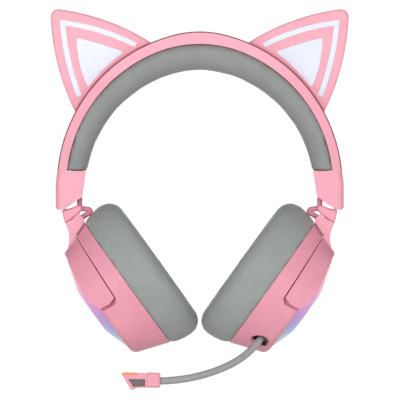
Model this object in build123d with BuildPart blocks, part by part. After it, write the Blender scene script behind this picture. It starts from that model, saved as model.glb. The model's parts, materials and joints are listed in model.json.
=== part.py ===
"""Gaming headset with cat ears, as an assembly of separate pieces, in millimetres.

Frame: +Z up, +X towards the wearer's left ear, -Y the way the wearer faces. The origin is the middle of the
headband cushion's underside, where the headset rests on a head or a stand.
The wearer's right side is drawn and the left side is its mirror image. Each cup is drawn upright in its own
axes, x towards the head (u), y as the headset's, z up its face (v), then tilted and moved into place.
"""

import os
from math import asin, cos, radians, sin, sqrt, tan

from build123d import *

# Driving dimensions ---------------------------------------------------------------------------------------

# Headband: each arch is a tight arc over the crown that runs into a wider arc down each side.
ARCH_OUTER = dict(top=25.0, crown_r=66.0, side_r=102.3, side_x=8.2)
ARCH_MIDDLE = dict(top=16.8, crown_r=76.0, side_r=95.1, side_x=7.2)
ARCH_INNER = dict(top=0.0, crown_r=54.0, side_r=78.3, side_x=3.6)
BAND_END_Z = -66.7  # where the end caps take over
BAND_HALF_W = 17.5  # half depth at the crown
BAND_END_HALF_W = 14.0  # half depth at the end caps
WALL = 1.6
COVER_T = 0.8  # skin on top of the headband
FIT = 0.15  # gap between fixed pieces that sit inside one another

# End caps and height sliders
STRIP_X, STRIP_T = -88.9, 1.2
STRIP_HALF_W = 4.5
STRIP_TOP, STRIP_BOTTOM = -57.0, -95.5
STEM_HALF_W = 6.5

# Cups
CUP_X, CUP_Z = -47.6, -140.5  # middle of the joint between shell and cushion
CUP_TILT = 35.7  # degrees from upright
OVAL = 0.9  # front-to-back over up-and-down
RIM_R = 48.2  # half height of the shell at the cushion
TAPER = tan(radians(19.0))
SHELL_T = 2.2
FLOOR_U = -22.0  # inside of the shell's outer wall
RING_U = -23.4  # plane that the light ring sits on
RING_R = 35.4
PLATE_R = 16.6
DRUM_R = 34.5  # narrow part of the shell, inside the yoke
CUSHION_T = 25.4
DRIVER_R = 20.0
SCREW_R = 41.5  # distance of the baffle screws from the cup's axis

# Yoke and its joints
PIVOT_U, PIVOT_V = -18.7, 1.0
PIVOT_PIN_R = 2.2
ARM_INNER_R = 36.6
SWIVEL_U = -4.9
SEAM_V = 55.3
SWIVEL_PIN_R = 2.0
RUNNING = 0.05  # radial clearance of a piece that turns or slides in its hole
CABLE_R = 1.5
CABLE_ROUTE = ((-79.2, -70.0), (-79.2, -91.2), (-70.9, -92.6), (-78.7, -98.0))  # path corners, x and z

# Ears
EAR_OUTER = (59.6, 42.0, 158.0)  # centre and radius of the outer edge
EAR_TOP = (-111.4, -106.4, 147.5)  # centre and radius of the top edge
EAR_TIP_R = 5.2
EAR_HALF_T = 7.0
EAR_WALL = 1.8
EAR_SCREW_ANGLES = (33.0, 50.0)  # along the headband, from straight up
EAR_SCREW_Y = 3.0

# Controls on the back of the left cup
WHEEL_R, WHEEL_T = 9.0, 4.0
WHEEL_U, WHEEL_V = -5.2, -16.0
BUTTON_U = -5.4
BUTTON_VS = dict(power=-29.5, mute=6.0)
BUTTON_R = 3.0

# Microphone
BOOM_R = 2.2
PORT = Vector(-15.2, -21.6, -34.8)  # on the cup's wall, in the cup's axes
PORT_OUT = Vector(0.08, -0.45, -0.889)
PORT_MOUTH = 8.0  # depth of the wide mouth that the boom comes out of
BOOM_TAIL = 16.0  # length of boom held in the guide
BOOM_ROOT = 4.0  # from the mouth to the first bend
BOOM_INNER_R, BOOM_OUTER_R = 58.0, 96.0  # curve of the length by the cup and of the one with the mic
BOOM_BEND = 26.5  # degrees turned by each curved length

CUP_PLACE = Location((CUP_X, 0, CUP_Z), (0, -CUP_TILT, 0))
CUP_AXES = Plane(CUP_PLACE)
UPWARD = (Align.CENTER, Align.CENTER, Align.MIN)
DOWNWARD = (Align.CENTER, Align.CENTER, Align.MAX)


# Helpers --------------------------------------------------------------------------------------------------


def save(part, name):
    """Labels a finished piece and writes it as its own STEP file."""
    part.label = name
    export_step(part, f"parts/{name}.step")


def save_both(part, name):
    """Writes the drawn piece for the wearer's right side and its mirror image for the left."""
    save(part, f"{name}_right")
    save_left(part, f"{name}_left")


def save_left(part, name):
    """Writes the mirror image of a drawn piece."""
    save(mirror(part, about=Plane.YZ), name)


def on_cup(part):
    """A piece drawn in the cup's axes, moved to its place on the wearer's right side."""
    return CUP_PLACE * part


def in_headset(u, y, v):
    """A point of the cup's axes in the headset's axes."""
    return CUP_AXES.from_local_coords(Vector(u, y, v))


def shell_r(u):
    """Half height of the cup's shell at u."""
    return RIM_R + TAPER * u


def wall_y(u, v, inset=0.0):
    """How far back the cup's side wall is at (u, v)."""
    return OVAL * sqrt((shell_r(u) - inset) ** 2 - v**2)


def arch_half(arch, low_z, grow):
    """Right half of an arch: its crown, the crown arc's middle, the join, the side arc's middle, its end."""
    step = arch["side_r"] - arch["crown_r"]
    join = asin(arch["side_x"] / step)
    crown_z = arch["top"] - arch["crown_r"]
    side_z = crown_z - step * cos(join)
    crown_r = arch["crown_r"] + grow
    side_r = arch["side_r"] + grow
    end = radians(90) - asin((low_z - side_z) / side_r)

    def on_crown(angle):
        return crown_r * sin(angle), crown_z + crown_r * cos(angle)

    def on_side(angle):
        return side_r * sin(angle) - arch["side_x"], side_z + side_r * cos(angle)

    return on_crown(0), on_crown(join / 2), on_crown(join), on_side((join + end) / 2), on_side(end)


def flip(point):
    """The same point on the other side of the headset."""
    return -point[0], point[1]


def band_area(outer, inner, low_z, outer_grow=0.0, inner_grow=0.0):
    """Area between two arches, seen from the front, down to low_z."""
    far = arch_half(outer, low_z, outer_grow)
    near = arch_half(inner, low_z, inner_grow)
    with BuildSketch(Plane.XZ) as area:
        with BuildLine():
            for crown, crown_mid, join, side_mid, end in (far, near):
                ThreePointArc(flip(end), flip(side_mid), flip(join))
                ThreePointArc(flip(join), crown, join)
                ThreePointArc(join, side_mid, end)
            Line(far[4], near[4])
            Line(flip(far[4]), flip(near[4]))
        make_face()
    return area.sketch


def under_arch(grow=0.0):
    """Area under the headband's outer arch, seen from the front."""
    crown, crown_mid, join, side_mid, end = arch_half(ARCH_OUTER, BAND_END_Z, grow)
    with BuildSketch(Plane.XZ) as area:
        with BuildLine():
            ThreePointArc(flip(end), flip(side_mid), flip(join))
            ThreePointArc(flip(join), crown, join)
            ThreePointArc(join, side_mid, end)
            Line(flip(end), end)
        make_face()
    return area.sketch


def side_view(inset=0.0):
    """Block as deep as the headband: wide at the crown, narrower at its ends."""
    wide, narrow = BAND_HALF_W - inset, BAND_END_HALF_W - inset
    with BuildPart() as block:
        with BuildSketch(Plane.YZ):
            with BuildLine():
                Polyline(
                    (-wide, 40),
                    (wide, 40),
                    (wide, -5),
                    (narrow, BAND_END_Z),
                    (-narrow, BAND_END_Z),
                    (-wide, -5),
                    close=True,
                )
            make_face()
        extrude(amount=120, both=True)
    return block.part


def ear_screw_place(angle):
    """Place on the headband's outer skin, facing out, at an angle down its right side."""
    arch = ARCH_OUTER
    step = arch["side_r"] - arch["crown_r"]
    side_z = arch["top"] - arch["crown_r"] - sqrt(step**2 - arch["side_x"] ** 2)
    x = arch["side_x"] - arch["side_r"] * sin(radians(angle))
    z = side_z + arch["side_r"] * cos(radians(angle))
    return Location((x, EAR_SCREW_Y, z), (0, -angle, 0))


def both_sides(place):
    """A place on the right of the headset and the matching one on the left."""
    x, y, z = place.position
    angle = place.orientation.Y
    return [place, Location((-x, y, z), (0, -angle, 0))]


def all_ear_screws():
    """Places of the four screws that hold the ears."""
    return [place for angle in EAR_SCREW_ANGLES for place in both_sides(ear_screw_place(angle))]


def turned(profile_points):
    """Solid turned about the cup's axis from a closed outline of (u, r) points, then made oval."""
    with BuildPart() as body:
        with BuildSketch(Plane.XZ):
            with BuildLine():
                Polyline(*profile_points, close=True)
            make_face()
        revolve(axis=Axis.X)
        scale(by=(1, OVAL, 1))
    return body.part


def side_outline(points, half_width):
    """Slab through the cup or the headset with an outline of straight edges, seen from the front."""
    with BuildPart() as slab:
        with BuildSketch(Plane.XZ):
            with BuildLine():
                Polyline(*points, close=True)
            make_face()
        extrude(amount=half_width, both=True)
    return slab.part


# Headband -------------------------------------------------------------------------------------------------


def band_shell():
    """Channel, open to the inside, that gives the headband its shape."""
    outside = band_area(ARCH_OUTER, ARCH_MIDDLE, BAND_END_Z, -COVER_T)
    inside = band_area(ARCH_OUTER, ARCH_MIDDLE, BAND_END_Z - 5, -COVER_T - WALL, -3)
    with BuildPart() as shell:
        extrude(outside, amount=BAND_HALF_W, both=True)
        add(side_view(), mode=Mode.INTERSECT)
        extrude(inside, amount=BAND_END_HALF_W - WALL, both=True, mode=Mode.SUBTRACT)
        with Locations(*all_ear_screws()):
            Cylinder(1.2, 20, mode=Mode.SUBTRACT)
    save(shell.part, "band_shell")


def band_cover():
    """Skin over the top of the headband."""
    skin = band_area(ARCH_OUTER, ARCH_OUTER, BAND_END_Z, 0, -COVER_T)
    with BuildPart() as cover:
        extrude(skin, amount=BAND_HALF_W, both=True)
        add(side_view(inset=0.5), mode=Mode.INTERSECT)
        with Locations(*all_ear_screws()):
            Cylinder(1.2, 20, mode=Mode.SUBTRACT)
    save(cover.part, "band_cover")


def spring_strip():
    """Steel strip inside the channel that gives the clamping force, holed to clear the ear screws."""
    top = -COVER_T - WALL - FIT
    strip_area = band_area(ARCH_OUTER, ARCH_OUTER, -50.0, top, top - 1.0)
    with BuildPart() as strip:
        extrude(strip_area, amount=8, both=True)
        with Locations(*all_ear_screws()):
            Cylinder(2.8, 20, mode=Mode.SUBTRACT)
    save(strip.part, "spring_strip")


def cushion_carrier():
    """Plate that closes the channel and carries the cushion."""
    plate = band_area(ARCH_MIDDLE, ARCH_MIDDLE, -50.0, 1.2, 0)
    with BuildPart() as carrier:
        extrude(plate, amount=BAND_END_HALF_W - WALL - FIT, both=True)
    save(carrier.part, "cushion_carrier")


def band_cushion():
    """Padded cushion under the headband."""
    pad = band_area(ARCH_MIDDLE, ARCH_INNER, BAND_END_Z)
    with BuildPart() as cushion:
        extrude(pad, amount=BAND_HALF_W, both=True)
        add(side_view(), mode=Mode.INTERSECT)
    save(cushion.part, "band_cushion")


def end_cap():
    """Hollow end of the headband that guides the height slider and lets the cable out."""
    with BuildPart() as cap:
        with BuildSketch(Plane.XZ):
            with BuildLine():
                outer = ThreePointArc((-93.6, BAND_END_Z), (-94.6, -73.0), (-94.8, -80.0))
                Polyline(outer @ 1, (-94.8, -90.6), (-93.6, -92.2), (-90.2, -92.2), (-77.6, -83.9))
                Polyline((-77.6, -83.9), (-76.9, -82.2), (-74.6, BAND_END_Z), outer @ 0)
            make_face()
        extrude(amount=BAND_END_HALF_W, both=True)
        fillet(cap.edges().filter_by(is_long_front_edge), 3.5)
        with Locations((STRIP_X, 0, -80)):
            Box(STRIP_T + 0.4, 2 * STRIP_HALF_W + 0.4, 30, mode=Mode.SUBTRACT)
        with Locations((-81.5, 0, -76)):
            Box(7, 20, 12, mode=Mode.SUBTRACT)
        with Locations((CABLE_ROUTE[0][0], 0, -80)):
            Cylinder(CABLE_R + 0.4, 26, mode=Mode.SUBTRACT)
        with Locations((-89.2, 9.5, -64.9), (-89.2, -9.5, -64.9)):
            Box(1.9, 3.6, 3.8)
    save_both(cap.part, "end_cap")


def is_long_front_edge(edge):
    """True for the end cap's long outer edges, front and back."""
    middle = edge.position_at(0.5)
    on_face = abs(abs(middle.Y) - BAND_END_HALF_W) < 0.01
    return on_face and middle.X < -93 and middle.Z > -89


# Ears -----------------------------------------------------------------------------------------------------


def ear_block(depth, inset=0.0):
    """Solid with an ear's outline, seated on the headband, from the middle plane to a depth in front."""
    with BuildPart() as block:
        for place, (x, z, radius) in enumerate((EAR_OUTER, EAR_TOP)):
            with BuildSketch(Plane.XZ):
                with Locations((x, z)):
                    Circle(radius - inset)
            extrude(amount=depth, mode=Mode.INTERSECT if place else Mode.ADD)
        with Locations((-60, 0, 0)):
            Box(90, 40, 84, mode=Mode.INTERSECT)
        extrude(under_arch(inset), amount=60, both=True, mode=Mode.SUBTRACT)
        tip = block.edges().filter_by(Axis.Y).sort_by(Axis.Z)[-1]
        fillet(tip, EAR_TIP_R - inset)
    return block.part


def ear_strip_area(grow=0.0):
    """The V of light along an ear's two free edges."""
    with BuildSketch(Plane.XZ) as area:
        with BuildLine():
            ThreePointArc((-79.4, -17.2), (-85.8, 3.0), (-90.3, 31.0))
            ThreePointArc((-90.3, 31.0), (-66.5, 26.0), (-42.2, 16.2))
        trace(line_width=3.4 + 2 * grow)
    return area.sketch


def ear_panel_area(size=1.0):
    """The triangle of light in the middle of an ear, with slightly bowed sides."""

    def at(x, z):
        return -69.5 + size * x, 6.0 + size * z

    with BuildSketch(Plane.XZ) as area:
        with BuildLine():
            ThreePointArc(at(-11.6, 15.2), at(3.0, 11.3), at(19.6, 5.8))
            ThreePointArc(at(19.6, 5.8), at(8.0, -4.1), at(-4.3, -17.8))
            ThreePointArc(at(-4.3, -17.8), at(-9.7, -1.2), at(-11.6, 15.2))
        make_face()
        fillet(area.vertices(), 1.0)
    return area.sketch


def ear_front():
    """Front half of an ear, open where the lights shine through."""
    with BuildPart() as front:
        add(ear_block(EAR_HALF_T))
        fillet(front.faces().sort_by(Axis.Y)[0].edges().sort_by(SortBy.LENGTH)[-3:], 1.2)
        add(ear_block(EAR_HALF_T - EAR_WALL, EAR_WALL), mode=Mode.SUBTRACT)
        extrude(ear_strip_area(0.1), amount=20, mode=Mode.SUBTRACT)
        extrude(ear_panel_area(1.01), amount=20, mode=Mode.SUBTRACT)
    save_both(front.part, "ear_front")


def ear_back():
    """Back half of an ear, with bosses for the screws that come up through the headband."""
    screws = [ear_screw_place(angle) * Location((0, 0, -1)) for angle in EAR_SCREW_ANGLES]
    with BuildPart() as back:
        add(ear_block(-EAR_HALF_T))
        fillet(back.faces().sort_by(Axis.Y)[-1].edges().sort_by(SortBy.LENGTH)[-3:], 1.2)
        add(ear_block(EAR_WALL - EAR_HALF_T, EAR_WALL), mode=Mode.SUBTRACT)
        with Locations(*screws):
            Cylinder(2.6, 10, align=UPWARD)
        extrude(under_arch(), amount=30, both=True, mode=Mode.SUBTRACT)
        with Locations(*screws):
            Cylinder(1.05, 8, align=UPWARD, mode=Mode.SUBTRACT)
    save_both(back.part, "ear_back")


def ear_light():
    """Moulded diffuser: a plate behind the front wall with the strip and the panel standing up from it."""
    plate_front = EAR_HALF_T - EAR_WALL - FIT
    plate_back = plate_front - 1.2
    with BuildPart() as light:
        extrude(ear_strip_area(), amount=EAR_HALF_T - 0.15)
        extrude(ear_panel_area(), amount=EAR_HALF_T - 0.15)
        add(ear_block(plate_front, EAR_WALL + FIT))
        add(ear_block(plate_back, 0.5), mode=Mode.SUBTRACT)
    save_both(light.part, "ear_light")


def ear_board():
    """LED board behind an ear's diffuser."""
    with BuildPart() as board:
        add(ear_block(1.6, EAR_WALL + 3))
        add(ear_block(0.6, 0.5), mode=Mode.SUBTRACT)
    save_both(board.part, "ear_board")


def ear_screws():
    """Four screws from inside the headband into the ears."""
    under_wall = -COVER_T - WALL - 0.05
    with BuildPart() as screws:
        with Locations(*[place * Location((0, 0, under_wall)) for place in all_ear_screws()]):
            Cylinder(2.1, 1.2, align=DOWNWARD)
            Cylinder(1.0, 8.2, align=UPWARD)
    save(screws.part, "ear_screws")


# Height sliders and yokes ---------------------------------------------------------------------------------


def slide_strip():
    """Steel strip that slides in the end cap."""
    middle = (STRIP_TOP + STRIP_BOTTOM) / 2
    with BuildPart() as strip:
        with Locations((STRIP_X, 0, middle)):
            Box(STRIP_T, 2 * STRIP_HALF_W, STRIP_TOP - STRIP_BOTTOM)
        fillet(strip.edges().filter_by(Axis.X), 1.5)
    save_both(strip.part, "slide_strip")


def stem():
    """Lower end of the slider, down to the seam where the yoke swivels."""
    seam_out = in_headset(SWIVEL_U - 5.7, 0, SEAM_V + 0.3)
    seam_in = in_headset(SWIVEL_U + 5.7, 0, SEAM_V + 0.3)
    with BuildPart() as body:
        with BuildSketch(Plane.XZ):
            with BuildLine():
                Polyline(
                    (seam_in.X, seam_in.Z),
                    (seam_out.X, seam_out.Z),
                    (-89.4, -99.0),
                    (-90.9, -92.7),
                    (-84.6, -91.0),
                    (-80.6, -89.2),
                    (-77.8, -89.0),
                    (-77.4, -92.4),
                    close=True,
                )
            make_face()
        extrude(amount=STEM_HALF_W, both=True)
        fillet(body.edges().filter_by(lambda e: abs(abs(e.center().Y) - STEM_HALF_W) < 0.01), 1.6)
        with Locations((STRIP_X, 0, (STRIP_BOTTOM - 90) / 2)):
            Box(STRIP_T, 2 * STRIP_HALF_W, -STRIP_BOTTOM - 90 + 0.01, mode=Mode.SUBTRACT)
        add(on_cup(swivel_cylinder(SWIVEL_PIN_R, SEAM_V, SEAM_V + 4.0)), mode=Mode.SUBTRACT)
        add(cable_solid(CABLE_R + 0.3), mode=Mode.SUBTRACT)
    save_both(body.part, "stem")


def swivel_cylinder(radius, low, high):
    """Cylinder on the swivel axis, in the cup's axes."""
    with BuildPart() as rod:
        with Locations((SWIVEL_U, 0, low)):
            Cylinder(radius, high - low, align=UPWARD)
    return rod.part


def swivel_pin():
    """Pin fixed in the stem that the yoke turns on."""
    pin = on_cup(swivel_cylinder(SWIVEL_PIN_R, SEAM_V - 3.9, SEAM_V + 4.0))
    save_both(pin, "swivel_pin")


def cable_solid(radius):
    """The cable's route: down out of the end cap, past the stem, round a loop and into the yoke."""
    corners = [Vector(x, 0, z) for x, z in CABLE_ROUTE]
    with BuildPart() as cable:
        with BuildLine() as route:
            FilletPolyline(*corners, radius=1.9)
        with BuildSketch(Plane(origin=corners[0], z_dir=(0, 0, -1))):
            Circle(radius)
        sweep(path=route.wires()[0])
    return cable.part


def cable():
    """Cable that feeds the cup: it rides with the slider and flexes where the yoke swivels."""
    save_both(cable_solid(CABLE_R), "cable")


def yoke():
    """Fork that carries the cup: a hub under the stem, an arch over the cup, an arm in front and behind."""
    ring = turned([(-27.0, ARM_INNER_R), (-27.0, shell_r(-27.0)), (-9, shell_r(-9)), (-9, ARM_INNER_R)])
    arms = side_outline(
        [
            (-9.7, 44.6),
            (-12.2, -2.6),
            (-16.7, -4.2),
            (-24.3, -3.2),
            (-26.6, 3.0),
            (-26.6, 14.0),
            (-26.0, 22.0),
            (-22.6, 37.0),
            (-21.0, 60.0),
            (-9.7, 60.0),
        ],
        60,
    )
    core = turned([(-40, 0), (-40, ARM_INNER_R), (5, ARM_INNER_R), (5, 0)])
    seam_in, seam_out = SWIVEL_U + 5.7, SWIVEL_U - 5.7
    with BuildPart() as fork:
        add(ring)
        add(arms, mode=Mode.INTERSECT)
        with BuildSketch(Plane.XZ):
            with BuildLine():
                ThreePointArc((seam_out, SEAM_V), (-13.4, 47.2), (-20.6, 40.4))
                Polyline((-20.6, 40.4), (-21.5, 37.2), (-12.5, 37.2), (-9.9, 45.3), (-3.7, 47.5))
                Polyline((-3.7, 47.5), (0.2, 49.0), (1.4, 50.6), (seam_in, SEAM_V), (seam_out, SEAM_V))
            make_face()
        extrude(amount=STEM_HALF_W, both=True)
        add(core, mode=Mode.SUBTRACT)
        with Locations((PIVOT_U, 0, PIVOT_V)):
            Cylinder(PIVOT_PIN_R, 2 * 36.2, rotation=(90, 0, 0), mode=Mode.SUBTRACT)
        add(swivel_cylinder(SWIVEL_PIN_R + RUNNING, SEAM_V - 4.1, SEAM_V + 1), mode=Mode.SUBTRACT)
        add(on_cup_inverse(cable_solid(CABLE_R + 0.3)), mode=Mode.SUBTRACT)
        with Locations((1.9, 0, 53.0)):
            Box(6.0, 6.2, 4.2, mode=Mode.SUBTRACT)
    save_both(on_cup(fork.part), "yoke")


def on_cup_inverse(part):
    """A piece drawn in the headset's axes, moved into the cup's axes."""
    return CUP_PLACE.inverse() * part


def pivot_pins():
    """Front and back pins that the cup tilts on."""
    with BuildPart() as pins:
        with Locations((PIVOT_U, 31.2, PIVOT_V), (PIVOT_U, -31.2, PIVOT_V)):
            Cylinder(PIVOT_PIN_R, 10.0, rotation=(90, 0, 0))
    save_both(on_cup(pins.part), "pivot_pins")


# Cups -----------------------------------------------------------------------------------------------------


def shell_solid():
    """The shell that both cups share: a tapered oval bowl, narrower where the yoke wraps it."""
    outside = turned(
        [
            (0, 0),
            (0, RIM_R),
            (-21.6, shell_r(-21.6)),
            (-23.3, 39.3),
            (-24.3, 37.4),
            (-24.3, RING_R + 0.3),
            (RING_U, RING_R + 0.3),
            (RING_U, 0),
        ],
    )
    hollow = turned(
        [
            (1, 0),
            (1, RIM_R - SHELL_T),
            (-9.0, shell_r(-9.0) - SHELL_T),
            (-9.0, DRUM_R - SHELL_T),
            (FLOOR_U, DRUM_R - SHELL_T),
            (FLOOR_U, 0),
        ],
    )
    lower_hollow = turned(
        [
            (-8, 0),
            (-8, shell_r(-8) - SHELL_T),
            (-20.6, shell_r(-20.6) - SHELL_T),
            (FLOOR_U, 36.6),
            (FLOOR_U, 0),
        ],
    )
    below = side_outline([(-30, -60), (-30, -9.5), (0, -9.5), (0, -60)], 60)
    drum = turned([(-40, 0), (-40, DRUM_R), (5, DRUM_R), (5, 0)])
    step = side_outline([(-8.6, 60), (-11.3, -3.5), (-14.0, -6.6), (-20.2, -6.2), (-40, -3.0), (-40, 60)], 60)
    with BuildPart() as shell:
        add(outside)
        add(step - drum, mode=Mode.SUBTRACT)
        add(hollow, mode=Mode.SUBTRACT)
        add(lower_hollow & below, mode=Mode.SUBTRACT)
        with Locations((PIVOT_U, 28.9, PIVOT_V), (PIVOT_U, -28.9, PIVOT_V)):
            Cylinder(4.2, 3.6, rotation=(90, 0, 0))
        with Locations((PIVOT_U, 0, PIVOT_V)):
            Cylinder(PIVOT_PIN_R + RUNNING, 80, rotation=(90, 0, 0), mode=Mode.SUBTRACT)
        with Locations(*screw_places(-9.6)):
            Cylinder(2.6, 7.1, rotation=(0, 90, 0), align=UPWARD)
        with Locations(*screw_places(-5.0)):
            Cylinder(1.05, 7.0, rotation=(0, 90, 0), mode=Mode.SUBTRACT)
    return shell.part


def screw_places(u):
    """Places of the four screws that hold the baffle."""
    across, up = SCREW_R * OVAL * sin(radians(40)), SCREW_R * cos(radians(40))
    return [(u, y, v) for y in (-across, across) for v in (-up, up)]


def cup_shell_right():
    """Right cup's shell."""
    save(on_cup(shell_solid()), "cup_shell_right")


def cup_shell_left():
    """Left cup's shell, cut for the microphone, the controls and the charging port."""
    mouth = Plane(origin=PORT, z_dir=PORT_OUT)
    wheel_slot = wheel_place()
    with BuildPart() as shell:
        add(shell_solid())
        with Locations(Location(mouth)):
            Cylinder(5.5, 9, mode=Mode.SUBTRACT)
        with Locations(wheel_slot):
            Cylinder(WHEEL_R + 0.4, WHEEL_T + 0.8, rotation=(0, 90, 0), mode=Mode.SUBTRACT)
        for v in BUTTON_VS.values():
            with Locations(button_place(v)):
                Cylinder(BUTTON_R + 0.2, 12, mode=Mode.SUBTRACT)
        with Locations(usb_place()):
            Box(3.3, 9.2, 12, mode=Mode.SUBTRACT)
    save_left(on_cup(shell.part), "cup_shell_left")


def wheel_place():
    """Middle of the volume wheel: the wheel stands out of the wall by a quarter of its radius."""
    y = wall_y(WHEEL_U, WHEEL_V)
    reach = sqrt(y**2 + WHEEL_V**2)
    inward = (reach - WHEEL_R + 1.8) / reach
    return Location((WHEEL_U, y * inward, WHEEL_V * inward))


def button_place(v):
    """Place on the back wall, facing out."""
    y = wall_y(BUTTON_U, v)
    out = Vector(0, y, v * OVAL * OVAL).normalized()
    return Location(Plane(origin=(BUTTON_U, y, v), x_dir=(1, 0, 0), z_dir=out))


def usb_place():
    """Place of the charging port at the bottom of the back wall."""
    v = -43.0
    y = wall_y(BUTTON_U, v)
    out = Vector(0, y, v * OVAL * OVAL).normalized()
    return Location(Plane(origin=(BUTTON_U - 1, y, v), x_dir=(1, 0, 0), z_dir=out))


def baffle():
    """Plate that closes the shell, holds the driver and carries the ear cushion."""
    plate = turned([(-0.1, 0), (-0.1, RIM_R - SHELL_T - 0.6), (-2.4, RIM_R - SHELL_T - 1.5), (-2.4, 0)])
    with BuildPart() as body:
        add(plate)
        with Locations((-2.4, 0, 0)):
            Cylinder(DRIVER_R + 2.0, 4.6, rotation=(0, 90, 0), align=DOWNWARD)
        with Locations((-1.6, 0, 0)):
            Cylinder(DRIVER_R + FIT, 8, rotation=(0, 90, 0), align=DOWNWARD, mode=Mode.SUBTRACT)
        with Locations(*baffle_vents()):
            Cylinder(1.5, 8, rotation=(0, 90, 0), mode=Mode.SUBTRACT)
        with Locations(*screw_places(-0.6)):
            Cylinder(2.2, 1.2, rotation=(0, 90, 0), mode=Mode.SUBTRACT)
        with Locations(*screw_places(-1.2)):
            Cylinder(1.2, 6, rotation=(0, 90, 0), mode=Mode.SUBTRACT)
    save_both(on_cup(body.part), "baffle")


def baffle_vents():
    """Rings of small holes in front of the driver, and the one in the middle."""
    rings = [(0.0, 1), (6.0, 6), (12.0, 12)]
    return [
        (0, radius * sin(radians(360 * i / count)), radius * cos(radians(360 * i / count)))
        for radius, count in rings
        for i in range(count)
    ]


def driver():
    """Loudspeaker: basket and magnet."""
    with BuildPart() as unit:
        with BuildSketch(Plane.XZ):
            with BuildLine():
                Polyline(
                    (-1.7, 0),
                    (-1.7, DRIVER_R),
                    (-5.6, DRIVER_R),
                    (-7.2, 12.5),
                    (-11.4, 12.5),
                    (-11.4, 0),
                    close=True,
                )
            make_face()
        revolve(axis=Axis.X)
    save_both(on_cup(unit.part), "driver")


def baffle_screws():
    """Four screws that hold the baffle in the shell."""
    with BuildPart() as screws:
        with Locations(*screw_places(-1.2)):
            Cylinder(2.0, 1.0, rotation=(0, 90, 0), align=UPWARD)
            Cylinder(1.0, 6.4, rotation=(0, 90, 0), align=DOWNWARD)
    save_both(on_cup(screws.part), "baffle_screws")


def light_ring():
    """Domed light guide round the outside of the cup."""
    with BuildPart() as ring:
        with BuildSketch(Plane.XZ):
            with BuildLine():
                ThreePointArc((-24.1, RING_R), (-26.5, 29.3), (-29.9, 18.6))
                Polyline((-29.9, 18.6), (-29.7, 17.4), (-28.9, 17.0), (-27.4, 17.0))
                ThreePointArc((-27.4, 17.0), (-25.4, 26.5), (-23.5, 31.5))
                Polyline((-23.5, 31.5), (-23.5, RING_R), (-24.1, RING_R))
            make_face()
        revolve(axis=Axis.X)
        scale(by=(1, OVAL, 1))
    save_both(on_cup(ring.part), "light_ring")


def outer_plate():
    """Disc in the middle of the light ring, on a foot that stands on the shell."""
    with BuildPart() as plate:
        with BuildSketch(Plane.XZ):
            with BuildLine():
                ThreePointArc((-29.0, 0), (-28.9, 8), (-28.6, PLATE_R))
                Polyline((-28.6, PLATE_R), (-26.8, PLATE_R), (-26.8, 11))
                Polyline((-26.8, 11), (RING_U - 0.1, 11), (RING_U - 0.1, 0))
                Line((RING_U - 0.1, 0), (-29.0, 0))
            make_face()
        revolve(axis=Axis.X)
        scale(by=(1, OVAL, 1))
    save_both(on_cup(plate.part), "outer_plate")


def ear_cushion():
    """Padded ring against the ear."""
    with BuildPart() as cushion:
        with BuildSketch(Plane.XZ):
            with BuildLine():
                ThreePointArc((0.1, 48.0), (5.0, 50.5), (12.0, 51.6))
                ThreePointArc((12.0, 51.6), (22.6, 49.1), (CUSHION_T, 42.0))
                ThreePointArc((CUSHION_T, 42.0), (24.0, 33.5), (17.0, 28.6))
                Polyline((17.0, 28.6), (0.1, 27.5), (0.1, 48.0))
            make_face()
        revolve(axis=Axis.X)
        scale(by=(1, OVAL, 1))
    save_both(on_cup(cushion.part), "ear_cushion")


def scrim():
    """Cloth over the driver, inside the ear cushion."""
    cloth = turned([(1.0, 0), (1.0, 27.0), (1.4, 27.0), (1.4, 0)])
    save_both(on_cup(cloth), "scrim")


def battery():
    """Rechargeable cell in the right cup."""
    with BuildPart() as cell:
        with Locations((-18.6, 0, -8)):
            Box(5.5, 34, 22)
        fillet(cell.edges().filter_by(Axis.X), 2)
    save(on_cup(cell.part), "battery_right")


def main_board():
    """Circuit board in the left cup."""
    with BuildPart() as board:
        with Locations((-20.6, 0, 9.5)):
            Box(1.4, 40, 24)
        with Locations((-19.2, -6, 10), (-19.2, 9, 14)):
            Box(1.4, 8, 8)
        with Locations(*[(-21.65, y, v) for y in (-18, 18) for v in (0, 20)]):
            Box(0.7, 3, 3)
    save_left(on_cup(board.part), "main_board")


def volume_wheel():
    """Knurled thumb wheel."""
    with BuildPart() as wheel:
        with Locations(wheel_place()):
            Cylinder(WHEEL_R, WHEEL_T, rotation=(0, 90, 0))
            Cylinder(1.5, WHEEL_T + 1, rotation=(0, 90, 0), mode=Mode.SUBTRACT)
    save_left(on_cup(wheel.part), "volume_wheel")


def volume_encoder():
    """Encoder body with the pin the wheel turns on."""
    place = wheel_place() * Location((-WHEEL_T / 2, 0, 0))
    with BuildPart() as encoder:
        with Locations(place * Location((-0.4, 0, 0))):
            Cylinder(2.6, 2.2, rotation=(0, 90, 0), align=DOWNWARD)
        with Locations(place * Location((-0.5, 0, 0))):
            Cylinder(1.5 - RUNNING, WHEEL_T + 0.6, rotation=(0, 90, 0), align=UPWARD)
    save_left(on_cup(encoder.part), "volume_encoder")


def buttons():
    """Power and mute buttons, each with the switch that it presses."""
    for name, v in BUTTON_VS.items():
        place = button_place(v)
        with BuildPart() as button:
            with Locations(place):
                Cylinder(BUTTON_R, 3.6, align=DOWNWARD)
                Cylinder(BUTTON_R, 1.0, align=UPWARD)
        save_left(on_cup(button.part), f"{name}_button")
    with BuildPart() as switches:
        with Locations(*[button_place(v) * Location((0, 0, -4.7)) for v in BUTTON_VS.values()]):
            Box(4, 4, 2.0, align=DOWNWARD)
    save_left(on_cup(switches.part), "switches")


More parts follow.
